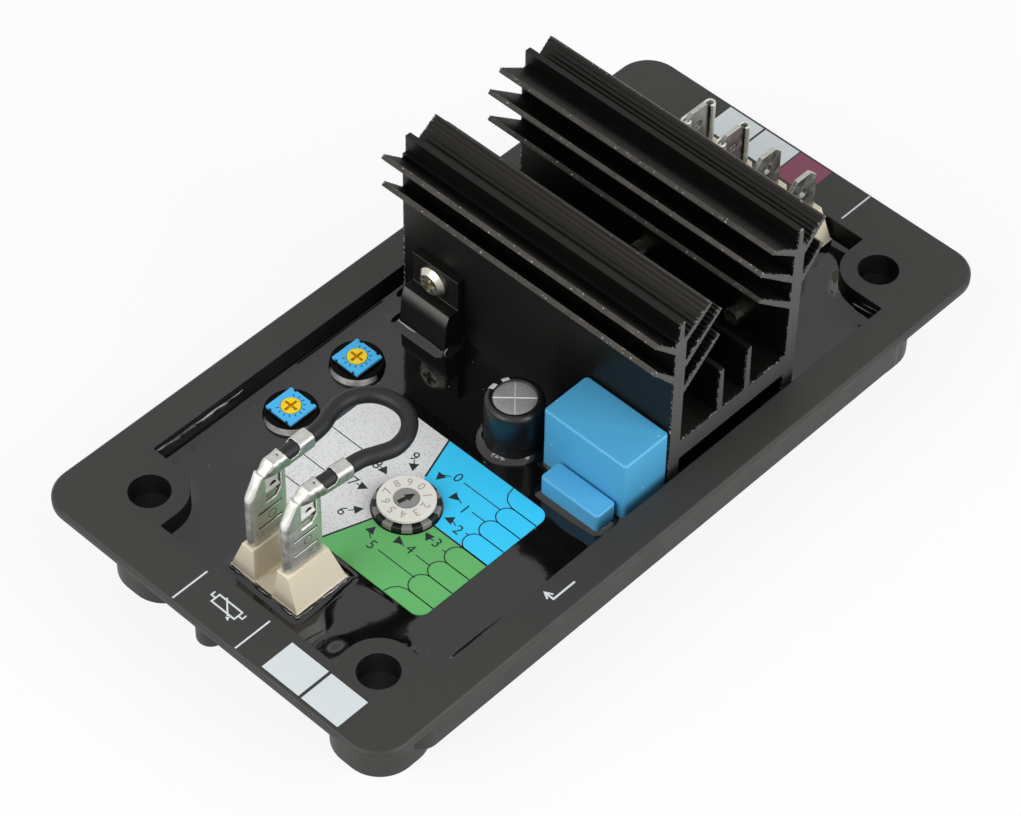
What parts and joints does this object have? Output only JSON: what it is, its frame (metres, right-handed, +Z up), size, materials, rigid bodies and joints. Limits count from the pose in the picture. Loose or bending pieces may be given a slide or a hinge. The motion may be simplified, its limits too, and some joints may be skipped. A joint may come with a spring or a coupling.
{
  "type": "automatic voltage regulator",
  "caption": "Potted automatic voltage regulator for a generator: flanged plastic tub filled with resin, finned heat sink, push-on terminals, trimmers, rotary selector and settings label.",
  "frame": {"origin": "middle of the four feet's plane, under the centre of the flange", "axes": "+X along the flange towards the four-tab terminal block, +Y towards the trimmers, +Z up out of the potting"},
  "size_m": [0.14, 0.075, 0.0501],
  "materials": {
    "housing_plastic": "fine satin moulding",
    "resin": "glossy poured resin",
    "board": "satin",
    "black_aluminium": "black anodised extrusion",
    "bare_aluminium": "satin",
    "label": "printed film",
    "black_plastic": "satin",
    "dial_plastic": "satin",
    "grey_plastic": "satin",
    "trimmer_blue": "satin",
    "trimmer_yellow": "satin",
    "sleeve": "shrunk film",
    "film_blue": "dipped lacquer",
    "tinned_metal": "tin plate",
    "screw_metal": "bright plating",
    "cream_plastic": "satin moulding",
    "wire": "smooth insulation"
  },
  "bodies": {
    "regulator": {"housing": "housing_plastic", "potting_resin": "resin", "circuit_board": "board", "heat_sink": "black_aluminium", "settings_label": "label", "selector_body": "black_plastic", "trimmer_bases": "grey_plastic", "stability_trimmer_cover": "trimmer_blue", "voltage_trimmer_cover": "trimmer_blue", "electrolytic_can": "bare_aluminium", "electrolytic_sleeve": "sleeve", "large_film_capacitor": "film_blue", "small_film_capacitor": "film_blue", "front_transistor": "black_plastic", "rear_left_transistor": "black_plastic", "rear_right_transistor": "black_plastic", "transistor_leads": "tinned_metal", "transistor_screws": "screw_metal", "front_terminal_block": "cream_plastic", "front_terminal_tabs": "tinned_metal", "rear_terminal_block": "cream_plastic", "rear_terminal_tabs": "tinned_metal", "left_jumper_receptacle": "tinned_metal", "right_jumper_receptacle": "tinned_metal", "jumper_wire": "wire", "rear_left_receptacle": "tinned_metal", "rear_right_receptacle": "tinned_metal"},
    "selector": {"selector_dial": "dial_plastic", "selector_hub": "grey_plastic"},
    "stability_adjuster": {"stability_trimmer_rotor": "trimmer_yellow"},
    "voltage_adjuster": {"voltage_trimmer_rotor": "trimmer_yellow"}
  },
  "joints": [
    {"name": "selector_turn", "type": "hinge", "parent": "regulator", "child": "selector", "pos_m": [-0.0295, -0.003, 0.015], "axis": [0, 0, 1], "continuous": true},
    {"name": "stability_turn", "type": "hinge", "parent": "regulator", "child": "stability_adjuster", "pos_m": [-0.0286, 0.0237, 0.015], "axis": [0, 0, 1], "range_deg": [-115, 115]},
    {"name": "voltage_turn", "type": "hinge", "parent": "regulator", "child": "voltage_adjuster", "pos_m": [-0.0139, 0.0237, 0.015], "axis": [0, 0, 1], "range_deg": [-115, 115]}
  ]
}
